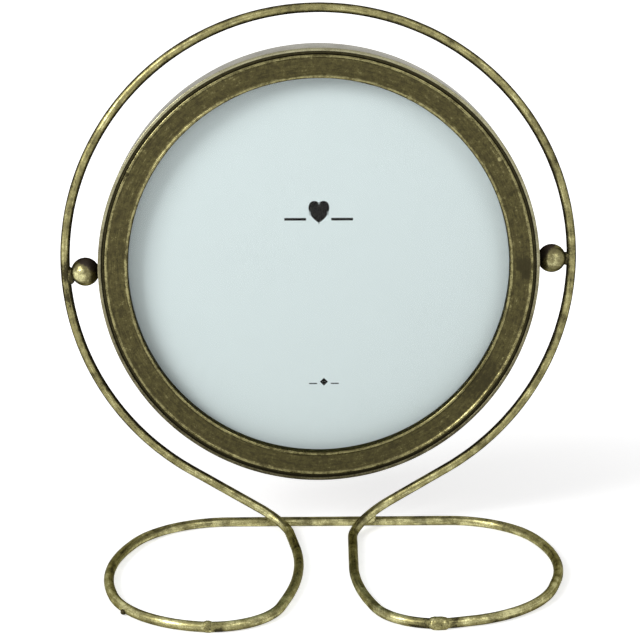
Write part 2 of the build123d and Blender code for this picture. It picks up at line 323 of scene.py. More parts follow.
# Shader groups
def in_millimetres(tree, vector):
    """A place in metres as one in millimetres."""
    scaled = vector_maths(tree, "SCALE", vector)
    scaled.node.inputs["Scale"].default_value = 1 / MM
    return scaled


def patina_and_painted_light_group():
    """Aged brass: patches of patina, drawn lines and stains; rubbed places and painted highlights
    made lighter, painted shade in recesses and on shaded sides made darker.
    """
    group, given, result = new_group(
        "ShaderNodeTree",
        "Aged Brass",
        {
            "Place": VECTOR,
            "Grain": VECTOR,
            "Rub And Sheen": 0.0,
            "Shade": 0.0,
            "Bright": COLOUR,
            "Mid": COLOUR,
            "Dark": COLOUR,
            "Stain": COLOUR,
            "Stains": 0.5,
            "Patch Size": 4.0,
            "Patches": 0.8,
            "Lines": 0.6,
            "Specks": 0.8,
            "Shade Strength": 0.5,
            "Polish And Sheen": 0.5,
            "Base Roughness": 0.34,
        },
        {"Color": COLOUR, "Roughness": FLOAT, "Height": FLOAT},
    )
    place = in_millimetres(group, given["Place"])
    grain = in_millimetres(group, given["Grain"])
    spread = maths(group, "DIVIDE", 1.0, given["Patch Size"])
    patches = noise_of(group, place, spread, 5.0, 0.62)
    specks = noise_of(group, place, 2.4, 3.0, 0.6)
    lines = noise_of(group, grain, 1.7, 4.0, 0.6)

    def swing(value, amount):
        return times(group, minus(group, value, 0.5), amount)

    tone = plus(group, swing(patches, given["Patches"]), swing(lines, given["Lines"]))
    tone = plus(group, tone, swing(specks, given["Specks"]))
    tone = plus(group, tone, 0.5)
    # Painted shade darkens the tone; rubbed places and painted highlights lighten it
    tone = minus(group, tone, times(group, given["Shade"], given["Shade Strength"]))
    tone = plus(group, tone, times(group, given["Rub And Sheen"], given["Polish And Sheen"]))
    colour = mixed(group, step_between(group, tone, 0.12, 0.5), given["Dark"], given["Mid"])
    colour = mixed(group, step_between(group, tone, 0.5, 0.95), colour, given["Bright"])
    stains = noise_of(group, place, maths(group, "DIVIDE", spread, 1.8), 4.0, 0.6)
    stain = times(group, step_between(group, stains, 0.48, 0.66), given["Stains"])
    colour = mixed(group, stain, colour, given["Stain"])
    dull = times(group, minus(group, 0.5, tone), 0.35)
    rough = plus(group, given["Base Roughness"], dull)
    low_rough = maths(group, "MAXIMUM", rough, 0.18)
    group.links.new(colour, result["Color"])
    group.links.new(low_rough, result["Roughness"])
    group.links.new(tone, result["Height"])
    return group


def new_material(name):
    """An empty node material and its Principled shader."""
    material = bpy.data.materials.new(name)
    material.use_nodes = True
    return material, material.node_tree, material.node_tree.nodes["Principled BSDF"]


def own_value(tree, name, output="Fac"):
    """A value that the mesh carries."""
    return add_node(tree, "ShaderNodeAttribute", attribute_name=name).outputs[output]


def object_place(tree):
    """The place on the piece, in metres."""
    return add_node(tree, "ShaderNodeTexCoord").outputs["Object"]


def raise_bump(tree, shader, height, distance, strength=1.0):
    """Feeds a height to the shader as bump."""
    inputs = {"Height": height, "Distance": distance, "Strength": strength}
    bump = add_node(tree, "ShaderNodeBump", inputs)
    tree.links.new(bump.outputs["Normal"], shader.inputs["Normal"])


def brass_material(name, group, colours, edge_tint=0.5, plain=False, marks=(), **values):
    """One brass finish. Plain is for a solid without grain, marks are its dark and bright spots:
    stains, and painted shade and highlights.
    """
    material, tree, shader = new_material(name)
    bright, mid, dark = colours
    place = object_place(tree)
    brass = add_node(tree, "ShaderNodeGroup", node_tree=group)
    shade = own_value(tree, "shade")
    ragged = noise_of(tree, place, 420.0, 4.0, 0.65)
    ragged = plus(tree, 0.5, ragged)
    for spot, reach, amount in marks:
        away = vector_maths(tree, "SUBTRACT", place, tuple(spot))
        away = vector_maths(tree, "LENGTH", away)
        away = times(tree, away, ragged)
        mark = times(tree, step_between(tree, away, reach, 0.35 * reach), amount)
        shade = plus(tree, shade, mark)
    inputs = {
        "Place": place,
        "Grain": place if plain else own_value(tree, "grain", "Vector"),
        "Rub And Sheen": own_value(tree, "rub_and_sheen"),
        "Shade": shade,
        "Bright": (*bright, 1.0),
        "Mid": (*mid, 1.0),
        "Dark": (*dark, 1.0),
        "Stain": (*paint(*STAIN), 1.0),
        **values,
    }
    feed(tree, brass, inputs)
    looks = {
        "Metallic": 1.0,
        "Specular Tint": (edge_tint, edge_tint, edge_tint, 1.0),
        "Base Color": brass.outputs["Color"],
        "Roughness": brass.outputs["Roughness"],
    }
    feed(tree, shader, looks)
    raise_bump(tree, shader, brass.outputs["Height"], BRASS_BUMP)
    return material


def glass_material():
    """Clear picture glass that lets the lamps through."""
    material, tree, shader = new_material("Picture glass")
    tint = (*paint(250, 253, 252), 1.0)
    feed(tree, shader, {"Base Color": tint, "Roughness": 0.0, "IOR": GLASS_IOR})
    shader.inputs["Transmission Weight"].default_value = 1.0
    clear = add_node(tree, "ShaderNodeBsdfTransparent")
    path = add_node(tree, "ShaderNodeLightPath")
    passing = maths(tree, "MAXIMUM", path.outputs["Is Shadow Ray"], path.outputs["Is Diffuse Ray"])
    mixer = add_node(
        tree,
        "ShaderNodeMixShader",
        {0: passing, 1: shader.outputs["BSDF"], 2: clear.outputs["BSDF"]},
    )
    output = tree.nodes["Material Output"]
    tree.links.new(mixer.outputs[0], output.inputs["Surface"])
    return material


def heart_mask(tree, across, up):
    """1 inside a plain heart that is about two units wide and high."""
    across_square = times(tree, across, across)
    up_square = times(tree, up, up)
    ring = minus(tree, plus(tree, across_square, up_square), 1.0)
    ring_cube = maths(tree, "POWER", ring, 3.0)
    cleft = times(tree, across_square, times(tree, up_square, up))
    inside = minus(tree, cleft, ring_cube)
    return step_between(tree, inside, -0.02, 0.02)


def bar_mask(tree, across, up, middle, half_width, half_height, soft):
    """1 inside a level bar, with a soft edge."""
    aside = maths(tree, "ABSOLUTE", minus(tree, across, middle[0]))
    above = maths(tree, "ABSOLUTE", minus(tree, up, middle[1]))
    in_width = step_between(tree, aside, half_width + soft, half_width - soft)
    in_height = step_between(tree, above, half_height + soft, half_height - soft)
    return times(tree, in_width, in_height)


def card_material(finish):
    """Pale printed card: a heart between two dashes, and a small diamond rule lower down."""
    material, tree, shader = new_material("Printed card")
    place = object_place(tree)
    parts = parts_of(tree, place)
    across = times(tree, parts["X"], 1 / MM)
    height = minus(tree, parts["Z"], CASE_MIDDLE.z)
    up = times(tree, height, 1 / MM)
    heart_across = maths(tree, "DIVIDE", across, 3.05)
    heart_up = maths(tree, "DIVIDE", minus(tree, up, 17.9), 3.4)
    ink = heart_mask(tree, heart_across, heart_up)
    for middle in (-7.9, 7.75):
        dash = bar_mask(tree, across, up, (middle, 15.9), 3.65, 0.45, 0.12)
        ink = maths(tree, "MAXIMUM", ink, dash)
    for middle in (-2.0, 5.4):
        dash = bar_mask(tree, across, up, (middle, -40.9), 1.35, 0.2, 0.12)
        ink = maths(tree, "MAXIMUM", ink, dash)
    beside = maths(tree, "ABSOLUTE", minus(tree, across, 1.7))
    above = maths(tree, "ABSOLUTE", minus(tree, up, -40.3))
    diamond = step_between(tree, plus(tree, beside, above), 1.5, 1.25)
    ink = maths(tree, "MAXIMUM", ink, diamond)
    fibre = noise_of(tree, place, 900.0, 4.0, 0.7)
    cloud = noise_of(tree, place, 22.0, 2.0, 0.5)
    pale = (*finish.card, 1.0)
    deeper = tuple(value * 0.965 for value in finish.card) + (1.0,)
    ground = mixed(tree, cloud, pale, deeper)
    colour = mixed(tree, ink, ground, (*finish.ink, 1.0))
    satin = plus(tree, 0.46, times(tree, fibre, 0.16))
    feed(tree, shader, {"Base Color": colour, "Roughness": satin, "Specular IOR Level": 0.1})
    raise_bump(tree, shader, fibre, 0.01 * MM, 0.6)
    return material


def fibre_material(name, colour, chip, edge):
    """Pressed board: fibres and chips in two near tones, and a slightly polished face."""
    material, tree, shader = new_material(name)
    place = object_place(tree)
    stretched = add_node(
        tree, "ShaderNodeMapping", {"Vector": place, "Scale": (260.0, 260.0, 1300.0)}
    ).outputs["Vector"]
    chips = noise_of(tree, stretched, 1.0, 6.0, 0.65)
    clouds = noise_of(tree, place, 40.0, 3.0, 0.5)
    base = (*colour, 1.0)
    dark = tuple(value * chip for value in colour) + (1.0,)
    light = tuple(min(1.0, value * edge) for value in colour) + (1.0,)
    fine = mixed(tree, step_between(tree, chips, 0.38, 0.62), dark, base)
    tone = mixed(tree, step_between(tree, clouds, 0.5, 0.8), fine, light)
    matt = plus(tree, 0.6, times(tree, chips, 0.3))
    feed(tree, shader, {"Base Color": tone, "Roughness": matt, "Specular IOR Level": 0.35})
    raise_bump(tree, shader, chips, 0.06 * MM)
    return material


def bezel_spot(angle, radius):
    """A point on the bezel's face."""
    angle = math.radians(angle)
    out = Vector((math.cos(angle), 0, math.sin(angle))) * radius
    return CASE_MIDDLE + out - Vector((0, CASE_HALF_DEPTH, 0))


def stains_and_painted_light(radius):
    """Dark and bright spots of wire, bezel, balls and band: place, reach and amount. The wire's
    spots and the bezel's blotches are stains and weld discolouration; the rest are painted shade
    and painted highlights.
    """
    left = side_line(-1, radius)
    right = side_line(1, radius)
    left_weld = line_length(left) * WELD_SHARE[-1]
    right_weld = line_length(right) * WELD_SHARE[1]
    wire = [
        (place_on(left, left_weld - 3.2 * MM)[0], 3.2 * MM, 0.75),
        (place_on(left, left_weld + 3.0 * MM)[0], 2.4 * MM, 0.35),
        (place_on(right, right_weld + 4.8 * MM)[0], 3.0 * MM, 0.8),
        (place_on(right, right_weld - 5.5 * MM)[0], 4.5 * MM, 0.6),
        (HOOP_MIDDLE + Vector((-HOOP_RADIUS, 0, -7.0 * MM)), 11.0 * MM, 0.4),
    ]
    bezel = [
        (bezel_spot(1.0, 68.4 * MM), 3.8 * MM, 0.8),
        (bezel_spot(-1.8, 69.2 * MM), 2.2 * MM, 0.8),
        (bezel_spot(-35.0, 66.5 * MM), 10.0 * MM, 0.3),
        # Painted shade of a small notch in the outer bead, and a painted glint on the face
        (bezel_spot(153.0, 70.9 * MM), 1.0 * MM, 0.9),
        (bezel_spot(31.8, 69.9 * MM), 1.1 * MM, -1.3),
    ]
    # Painted highlights: bright spots on the balls where the lamps' reflections fall
    ball_highlight_left = Vector((-0.35, -0.9, -0.18)) * BALL_RADIUS
    ball_highlight_right = Vector((0.05, -1.0, 0.12)) * BALL_RADIUS
    balls = [
        (pivot_point(-1, BALL_OUT) + ball_highlight_left, 3.4 * MM, -0.4),
        (pivot_point(1, BALL_OUT) + ball_highlight_right, 3.0 * MM, -0.22),
    ]
    # Painted shade: the band is darker towards the bottom and the sides, fading to none at the top
    band = [(CASE_MIDDLE - Vector((0, 0, 60.0 * MM)), 130.0 * MM, 0.9)]
    return wire, bezel, balls, band


def make_finishes(finish, radius):
    """All materials of the frame, by name."""
    group = patina_and_painted_light_group()
    bright = tuple(finish.brass_bright)
    mid = tuple(finish.brass_mid)
    dark = tuple(finish.brass_dark)
    bezel = tuple(finish.bezel_mid)
    deep = tuple(value * 0.45 for value in dark)
    # Dark tone of the balls, also used for their painted shade
    ball_dark = paint(62, 55, 48)
    turned = paint(114, 108, 74)
    # The bezel's bright tone: wear on the bead crests, with painted highlights along the beads and
    # a painted glint
    worn_and_sheen = paint(138, 132, 92)
    grey = paint(118, 113, 88)
    pale = paint(152, 149, 120)
    aged = (bright, mid, dark)
    wire_marks, bezel_marks, painted_ball_highlights, band_painted_shade = stains_and_painted_light(radius)
    band = {"Patch Size": 6.0, "Patches": 0.5, "Lines": 0.5, "Shade Strength": 0.6, "Stains": 0.3}
    small = {"Patch Size": 1.2, "Patches": 0.8, "Lines": 0.3, "Stains": 0.4}
    wire = {"Patch Size": 3.6, "Patches": 1.0, "Lines": 0.9, "Shade Strength": 0.55, "Stains": 0.55}
    wire.update({"Base Roughness": 0.4, "marks": wire_marks})
    ball = {"Patch Size": 2.2, "Patches": 0.9, "Lines": 0.2, "Shade Strength": 0.7, "Stains": 0.2}
    ball.update({"Specks": 0.45, "marks": painted_ball_highlights})
    joint = {"Patch Size": 1.8, "Patches": 1.4, "Lines": 0.3, "Shade Strength": 0.6, "Stains": 0.3}
    weld = {"Patch Size": 1.4, "Patches": 1.6, "Lines": 0.2, "Shade Strength": 0.4}
    face = {"Patch Size": 1.5, "Patches": 1.0, "Lines": 0.9, "Shade Strength": 0.7, "Stains": 0.45}
    face.update({"Polish And Sheen": 0.38, "Specks": 0.8, "marks": bezel_marks})
    # Name, the three tones, edge tint and values of each brass
    kinds = {
        "wire": ("Wire brass", aged, 0.25, wire),
        "ball": ("Ball brass", (bright, turned, ball_dark), 0.25, ball),
        "joint": ("Joint brass", aged, 0.25, {**joint, "plain": True}),
        "weld": ("Weld metal", (mid, dark, deep), 0.4, weld),
        "bezel": ("Bezel brass", (worn_and_sheen, bezel, dark), 0.4, face),
        "band": ("Band brass", (pale, grey, dark), 1.0, {**band, "marks": band_painted_shade}),
        "button": ("Button brass", aged, 0.7, small),
        "hardware": ("Hardware brass", aged, 0.7, {**small, "plain": True}),
        "seat": ("Inner ring brass", (bright, bezel, dark), 0.7, {**band, "plain": True}),
    }
    brass = {
        key: brass_material(name, group, tones, tint, **values)
        for key, (name, tones, tint, values) in kinds.items()
    }
    return {
        **brass,
        "glass": glass_material(),
        "card": card_material(finish),
        "filler": fibre_material("Grey filler", paint(150, 146, 138), 0.8, 1.1),
        "board": fibre_material("Hardboard", tuple(finish.board), 0.62, 1.25),
    }


# Geometry Nodes
def store(tree, geometry, name, value, kind="FLOAT"):
    """Keeps a value on the points under a name."""
    node = add_node(
        tree,
        "GeometryNodeStoreNamedAttribute",
        {"Geometry": geometry, "Name": name, "Value": value},
        data_type=kind,
        domain="POINT",
    )
    return node.outputs["Geometry"]


def dented(tree, geometry, depth, size, seed):
    """Pushes the skin inwards by soft noise, never outwards."""
    place = add_node(tree, "GeometryNodeInputPosition").outputs[0]
    normal = add_node(tree, "GeometryNodeInputNormal").outputs["Normal"]
    shifted = vector_maths(tree, "ADD", place, seed)
    lumps = noise_of(tree, shifted, maths(tree, "DIVIDE", 1.0, size), 2.0, 0.5)
    push = times(tree, lumps, times(tree, depth, -1.0))
    offset = add_node(
        tree, "ShaderNodeVectorMath", {0: normal, "Scale": push}, operation="SCALE"
    ).outputs[0]
    node = add_node(tree, "GeometryNodeSetPosition", {"Geometry": geometry, "Offset": offset})
    return node.outputs["Geometry"]


def finish_tree(tree, geometry, material, end):
    """Smooth shading, real geometry instead of instances, and the material."""
    smooth = add_node(tree, "GeometryNodeSetShadeSmooth", {"Geometry": geometry})
    real = add_node(tree, "GeometryNodeRealizeInstances", {"Geometry": smooth.outputs[0]})
    last = add_node(
        tree, "GeometryNodeSetMaterial", {"Geometry": real.outputs[0], "Material": material}
    )
    tree.links.new(last.outputs[0], end["Geometry"])


def captured(tree, geometry, value):
    """Keeps a field of one geometry so that it can be read after the next node."""
    node = tree.nodes.new("GeometryNodeCaptureAttribute")
    node.domain = "POINT"
    node.capture_items.new("FLOAT", "Value")
    tree.links.new(geometry, node.inputs["Geometry"])
    tree.links.new(value, node.inputs["Value"])
    return node.outputs["Geometry"], node.outputs["Value"]


def wire_tree():
    """Sweeps a round wire along the piece's line, between two lengths."""
    tree, given, end = new_group(
        "GeometryNodeTree",
        "Bent Wire",
        {
            "Geometry": GEOMETRY,
            "Start": 0.0,
            "End": 1.0,
            "Step": 1.0 * MM,
            "Sides": 24,
            "Radius": 1.65 * MM,
            "Grain Stretch": 14.0,
            "Dent Depth": 0.05 * MM,
            "Dent Size": 3.0 * MM,
            "Seed": ZERO,
            "Dark Towards": ZERO,
            "Material": MATERIAL,
        },
        {"Geometry": GEOMETRY},
    )
    line = add_node(tree, "GeometryNodeMeshToCurve", {"Mesh": given["Geometry"]})
    part = add_node(
        tree,
        "GeometryNodeTrimCurve",
        {"Curve": line.outputs[0], "Start": given["Start"], "End": given["End"]},
        mode="LENGTH",
    )
    even = add_node(
        tree,
        "GeometryNodeResampleCurve",
        {"Curve": part.outputs[0], "Length": given["Step"]},
        mode="LENGTH",
    )
    on_line = add_node(tree, "GeometryNodeSplineParameter").outputs
    path, along = captured(tree, even.outputs[0], on_line["Length"])
    ring = add_node(
        tree,
        "GeometryNodeCurvePrimitiveCircle",
        {"Resolution": given["Sides"], "Radius": given["Radius"]},
    )
    section, around = captured(tree, ring.outputs[0], on_line["Factor"])
    swept = add_node(
        tree,
        "GeometryNodeCurveToMesh",
        {"Curve": path, "Profile Curve": section, "Fill Caps": True},
    ).outputs[0]
    dents = dented(tree, swept, given["Dent Depth"], given["Dent Size"], given["Seed"])
    place = add_node(tree, "GeometryNodeInputPosition").outputs[0]
    normal = add_node(tree, "GeometryNodeInputNormal").outputs["Normal"]
    inward = vector_maths(tree, "SUBTRACT", given["Dark Towards"], place)
    inward = vector_maths(tree, "NORMALIZE", inward)
    facing = vector_maths(tree, "DOT_PRODUCT", normal, inward)
    turn = times(tree, around, math.tau)
    stretched = maths(tree, "DIVIDE", along, given["Grain Stretch"])
    grain = joined(tree, *on_circle(tree, turn, given["Radius"]), stretched)
    dents = store(tree, dents, "grain", grain, "FLOAT_VECTOR")
    parts = parts_of(tree, place)
    # Painted shade on the hoop's inner and outer sides, weaker near the floor; the base loops are
    # painted lighter and the upright parts slightly darker
    inside = step_between(tree, facing, 0.35, 1.0)
    outside = times(tree, step_between(tree, facing, -0.55, -1.0), 0.85)
    upright = step_between(tree, parts["Z"], 8.0 * MM, 35.0 * MM)
    share_of_sides = plus(tree, 0.5, times(tree, upright, 0.5))
    sides = times(tree, maths(tree, "MAXIMUM", inside, outside), share_of_sides)
    paler = times(tree, minus(tree, 1.0, upright), -0.3)
    darker = times(tree, upright, 0.03)
    sides = plus(tree, sides, darker)
    dents = store(tree, dents, "shade", plus(tree, sides, paler))
    level = joined(tree, parts["X"], parts["Y"], maths(tree, "MAXIMUM", parts["Z"], 0.0))
    flat = add_node(tree, "GeometryNodeSetPosition", {"Geometry": dents, "Position": level})
    finish_tree(tree, flat.outputs[0], given["Material"], end)
    return tree


def turned_tree():
    """Turns the piece's section round an axis: X is the distance from it and Y runs along it."""
    tree, given, end = new_group(
        "GeometryNodeTree",
        "Turned Piece",
        {
            "Geometry": GEOMETRY,
            "Segments": 64,
            "Grain Spread": 6.0 * MM,
            "Dent Depth": 0.05 * MM,
            "Dent Size": 5.0 * MM,
            "Seed": ZERO,
            "Dark Side": ZERO,
            "Place": ZERO,
            "Turn": ZERO,
            "Material": MATERIAL,
        },
        {"Geometry": GEOMETRY},
    )
    section = given["Geometry"]
    count = add_node(
        tree, "GeometryNodeAttributeDomainSize", {"Geometry": section}
    ).outputs["Point Count"]
    grid = add_node(
        tree,
        "GeometryNodeMeshGrid",
        {
            "Size X": 1.0,
            "Size Y": 1.0,
            "Vertices X": plus(tree, given["Segments"], 1.0),
            "Vertices Y": count,
        },
    ).outputs["Mesh"]
    place = add_node(tree, "GeometryNodeInputPosition").outputs[0]
    parts = parts_of(tree, place)
    turn = times(tree, plus(tree, parts["X"], 0.5), math.tau)
    last = minus(tree, count, 1.0)
    row = maths(tree, "ROUND", times(tree, plus(tree, parts["Y"], 0.5), last))

    def sampled(value, kind):
        inputs = {"Geometry": section, "Value": value, "Index": row}
        kinds = {"data_type": kind, "domain": "POINT"}
        return add_node(tree, "GeometryNodeSampleIndex", inputs, **kinds).outputs["Value"]

    def named(name):
        node = add_node(tree, "GeometryNodeInputNamedAttribute", {"Name": name}, data_type="FLOAT")
        return node.outputs["Attribute"]

    spot = parts_of(tree, sampled(place, "FLOAT_VECTOR"))
    around = on_circle(tree, turn, given["Grain Spread"])
    grain = joined(tree, *around, sampled(named("run"), "FLOAT"))
    mesh = store(tree, grid, "grain", grain, "FLOAT_VECTOR")
    mesh = store(tree, mesh, "rub_and_sheen", sampled(named("rub_and_sheen"), "FLOAT"))
    mesh = store(tree, mesh, "shade", sampled(named("shade"), "FLOAT"))
    turned = joined(tree, *on_circle(tree, turn, spot["X"]), spot["Y"])
    mesh = add_node(tree, "GeometryNodeSetPosition", {"Geometry": mesh, "Position": turned})
    closed = add_node(
        tree, "GeometryNodeMergeByDistance", {"Geometry": mesh.outputs[0], "Distance": 0.001 * MM}
    )
    placed = add_node(
        tree,
        "GeometryNodeTransform",
        {"Geometry": closed.outputs[0], "Translation": given["Place"], "Rotation": given["Turn"]},
    )
    dents = dented(tree, placed.outputs[0], given["Dent Depth"], given["Dent Size"], given["Seed"])
    # Painted shade on the side that faces Dark Side, added to the section's own shade
    normal = add_node(tree, "GeometryNodeInputNormal").outputs["Normal"]
    facing = vector_maths(tree, "DOT_PRODUCT", normal, given["Dark Side"])
    shade = plus(tree, named("shade"), step_between(tree, facing, -0.05, 0.8))
    dents = store(tree, dents, "shade", shade)
    finish_tree(tree, dents, given["Material"], end)
    return tree


def around_tree():
    """Sets copies of the piece on a circle, each turned to face the middle."""
    tree, given, end = new_group(
        "GeometryNodeTree",
        "Set Around",
        {
            "Geometry": GEOMETRY,
            "Count": 4,
            "First Angle": 0.0,
            "Radius": 0.05,
            "Place": ZERO,
            "Turn": ZERO,
            "Material": MATERIAL,
        },
        {"Geometry": GEOMETRY},
    )
    number = add_node(tree, "GeometryNodeInputIndex").outputs[0]
    share = maths(tree, "DIVIDE", number, given["Count"])
    angle = times(tree, share, math.tau)
    angle = plus(tree, angle, given["First Angle"])
    spot = joined(tree, *on_circle(tree, angle, given["Radius"]))
    points = add_node(
        tree, "GeometryNodePoints", {"Count": given["Count"], "Position": spot}
    ).outputs[0]
    facing = joined(tree, z=angle)
    copies = add_node(
        tree,
        "GeometryNodeInstanceOnPoints",
        {"Points": points, "Instance": given["Geometry"], "Rotation": facing},
    ).outputs[0]
    placed = add_node(
        tree,
        "GeometryNodeTransform",
        {"Geometry": copies, "Translation": given["Place"], "Rotation": given["Turn"]},
    )
    finish_tree(tree, placed.outputs[0], given["Material"], end)
    return tree


# Mesh helpers
def line_mesh(name, points, values=None):
    """A mesh that is one line of points, with named values on them."""
    mesh = bpy.data.meshes.new(name)
    edges = [(i, i + 1) for i in range(len(points) - 1)]
    mesh.from_pydata([tuple(point) for point in points], edges, [])
    for key, numbers in (values or {}).items():
        mesh.attributes.new(key, "FLOAT", "POINT").data.foreach_set("value", numbers)
    return mesh


def new_object(name, mesh):
    """An object at the origin that shows a mesh."""
    piece = bpy.data.objects.new(name, mesh)
    bpy.context.scene.collection.objects.link(piece)
    return piece


def grown(piece, tree, values):
    """Runs a node tree on a piece and keeps the result as its plain mesh."""
    modifier = piece.modifiers.new(tree.name, "NODES")
    modifier.node_group = tree
    for item in tree.interface.items_tree:
        if item.in_out == "INPUT" and item.name in values:
            modifier[item.identifier] = values[item.name]
    bpy.context.view_layer.update()
    graph = bpy.context.evaluated_depsgraph_get()
    mesh = bpy.data.meshes.new_from_object(
        piece.evaluated_get(graph), preserve_all_data_layers=True, depsgraph=graph
    )
    piece.modifiers.clear()
    mesh.name = piece.name
    piece.data = mesh


def tidy_mesh(mesh, sharp=math.radians(40.0)):
    """Merges doubles, turns the faces outwards and keeps hard edges hard."""
    work = bmesh.new()
    work.from_mesh(mesh)
    bmesh.ops.remove_doubles(work, verts=work.verts, dist=0.0005 * MM)
    bmesh.ops.dissolve_degenerate(work, edges=work.edges, dist=0.0002 * MM)
    bmesh.ops.recalc_face_normals(work, faces=work.faces)
    work.to_mesh(mesh)
    work.free()
    mesh.shade_smooth()
    mesh.set_sharp_from_angle(angle=sharp)


def bent_line(corners, bends, steps):
    """Points of a line whose inner corners are rounded with arcs of the given radii."""
    points = [corners[0]]
    for before, corner, after, bend in zip(corners, corners[1:], corners[2:], bends):
        back = (before - corner).normalized()
        ahead = (after - corner).normalized()
        half = back.angle(ahead) / 2
        middle = corner + (back + ahead).normalized() * bend / math.sin(half)
        start = corner + back * bend / math.tan(half)
        end = corner + ahead * bend / math.tan(half)
        for i in range(steps + 1):
            spoke = (start - middle).normalized().slerp((end - middle).normalized(), i / steps)
            points.append(middle + spoke * bend)
    points.append(corners[-1])
    return points


def line_length(points):
    """Length of a line of points."""
    return sum((b - a).length for a, b in zip(points, points[1:]))


def place_on(points, distance):
    """The point at a distance along a line, and the line's direction there."""
    for a, b in zip(points, points[1:]):
        run = (b - a).length
        if distance <= run:
            return a + (b - a) * distance / run, (b - a).normalized()
        distance -= run
    return points[-1], (points[-1] - points[-2]).normalized()


def section_line(corners, bends, steps, rub_and_sheen, shade):
    """A rounded section as a line mesh, with how far along it each point is, and its wear, painted
    highlight and painted shade.
    """
    flat = [Vector((x, y, 0)) for x, y in corners]
    points = bent_line(flat, bends, steps)
    points = [p for i, p in enumerate(points) if i == 0 or (p - points[i - 1]).length > 0.002 * MM]
    run = [line_length(points[: i + 1]) for i in range(len(points))]
    values = {
        "run": run,
        "rub_and_sheen": [rub_and_sheen(point.x, point.y) for point in points],
        "shade": [shade(point.x, point.y) for point in points],
    }
    return line_mesh("section", points, values)


def none_of(_radius, _along):
    """No wear and no shade."""
    return 0.0


# Stand
def side_line(side, radius):
    """Middle line of one side of the wire, from the top of its leg to the middle of the bar."""
    top = HOOP_RADIUS * math.sin(LEG_SLOPE)
    top_height = radius + (top - FOOT_OUT) * math.tan(LEG_SLOPE)
    corners = [Vector((side * top, 0, top_height)), Vector((side * FOOT_OUT, 0, radius))]
    for out, forward in LOOP_CORNERS[side]:
        corners.append(Vector((side * out * MM, -forward * MM, radius)))
    corners.append(Vector((0, BAR_BEHIND_HOOP, radius)))
    bends = [FOOT_BEND[side]]
    for before, corner, after in zip(corners[1:], corners[2:], corners[3:]):
        back = before - corner
        ahead = after - corner
        reach = LOOP_ARC_SHARE * min(back.length, ahead.length)
        bends.append(reach * math.tan(back.angle(ahead) / 2))
    return [p + Vector((0, HOOP_MIDDLE.y, 0)) for p in bent_line(corners, bends, 24)]


def hoop_arc():
    """Middle line of the hoop, from the left leg over the top to the right leg."""
    first = math.radians(-90.0) - LEG_SLOPE
    sweep = math.tau - 2 * LEG_SLOPE
    count = 360
    points = []
    for i in range(1, count):
        angle = first - sweep * i / count
        points.append(HOOP_MIDDLE + Vector((math.cos(angle), 0, math.sin(angle))) * HOOP_RADIUS)
    return points


def pivot_point(side, distance):
    """A point on the slanted pivot, at a distance outwards from the case's middle."""
    outwards = Vector((side * math.cos(PIVOT_SLANT), 0, side * math.sin(PIVOT_SLANT)))
    return CASE_MIDDLE + outwards * distance


def lump(name, place, radii, lumpiness, seed, run=None, end_power=1.0):
    """A drop of weld metal, squeezed and roughened. Its X lies along the run, if one is given."""
    work = bmesh.new()
    bmesh.ops.create_icosphere(work, subdivisions=5, radius=1.0)
    shift = Vector((seed, seed * 0.7, -seed))
    for vertex in work.verts:
        rough = noise.noise(vertex.co * 1.6 + shift) + 0.5 * noise.noise(vertex.co * 4.1 + shift)
        vertex.co.x = math.copysign(abs(vertex.co.x) ** end_power, vertex.co.x)
        vertex.co = vertex.co * (1.0 - lumpiness * (0.5 + 0.5 * rough))
        vertex.co = Vector(a * b for a, b in zip(vertex.co, radii))
    if run is not None:
        turn = run.to_track_quat("X", "Z").to_matrix().to_4x4()
        bmesh.ops.transform(work, matrix=turn, verts=work.verts)
    bmesh.ops.translate(work, vec=place, verts=work.verts)
    for vertex in work.verts:
        vertex.co.z = max(vertex.co.z, 0.0)
    mesh = bpy.data.meshes.new(name)
    work.to_mesh(mesh)
    work.free()
    mesh.shade_smooth()
    return new_object(name, mesh)


def dress(piece, body, slot, *nodes):
    """Sets a finished piece on its body, in place of its nodes. The slot is not used."""
    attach(piece, body)
    if nodes:
        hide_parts(*nodes)


made = {}


def grow_piece(node, mesh, tree, values, body, slot):
    """A finished piece, grown from a mesh by a node tree, in place of a node."""
    piece = new_object(node + "_skin", mesh)
    grown(piece, made[tree], values)
    tidy_mesh(piece.data)
    dress(piece, body, slot, node)
    return piece


def add_weld(node, slot, finish, *shape):
    """A lump of weld in place of a node."""
    weld = lump(node + "_skin", *shape)
    weld.data.materials.append(made["finish"][finish])
    dress(weld, "stand", slot, node)


def add_spatter(piece, left, radius):
    """Joins the bead of spatter to the base wire."""
    place, run = place_on(left, line_length(left) * SPATTER_SHARE)
    out = run.cross(Vector((0, 0, 1)))
    out = out if out.y < 0 else -out
    spot = place + out * radius * math.cos(SPATTER_BELOW_LEVEL)
    spot = spot - Vector((0, 0, radius * math.sin(SPATTER_BELOW_LEVEL)))
    bead = lump("spatter", spot, (SPATTER_RADIUS,) * 3, 0.2, 4.0)
    for item in (bead, piece):
        item.data.materials.append(made["finish"]["weld"])
    work = bmesh.new()
    work.from_mesh(piece.data)
    count = len(work.faces)
    work.from_mesh(bead.data)
    work.faces.ensure_lookup_table()
    for face in work.faces[count:]:
        face.material_index = 1
    work.to_mesh(piece.data)
    work.free()
    bpy.data.objects.remove(bead)


class PHOTO_FRAME_OT_finishes(bpy.types.Operator):
    """Make the materials and node trees"""

    bl_idname = "photo_frame.finishes"
    bl_label = "Finishes"

    def execute(self, context):
        radius = context.scene.photo_frame_wire.diameter / 2
        made["finish"] = make_finishes(context.scene.photo_frame_finish, radius)
        made["wire"] = wire_tree()
        made["turned"] = turned_tree()
        made["around"] = around_tree()
        return {"FINISHED"}


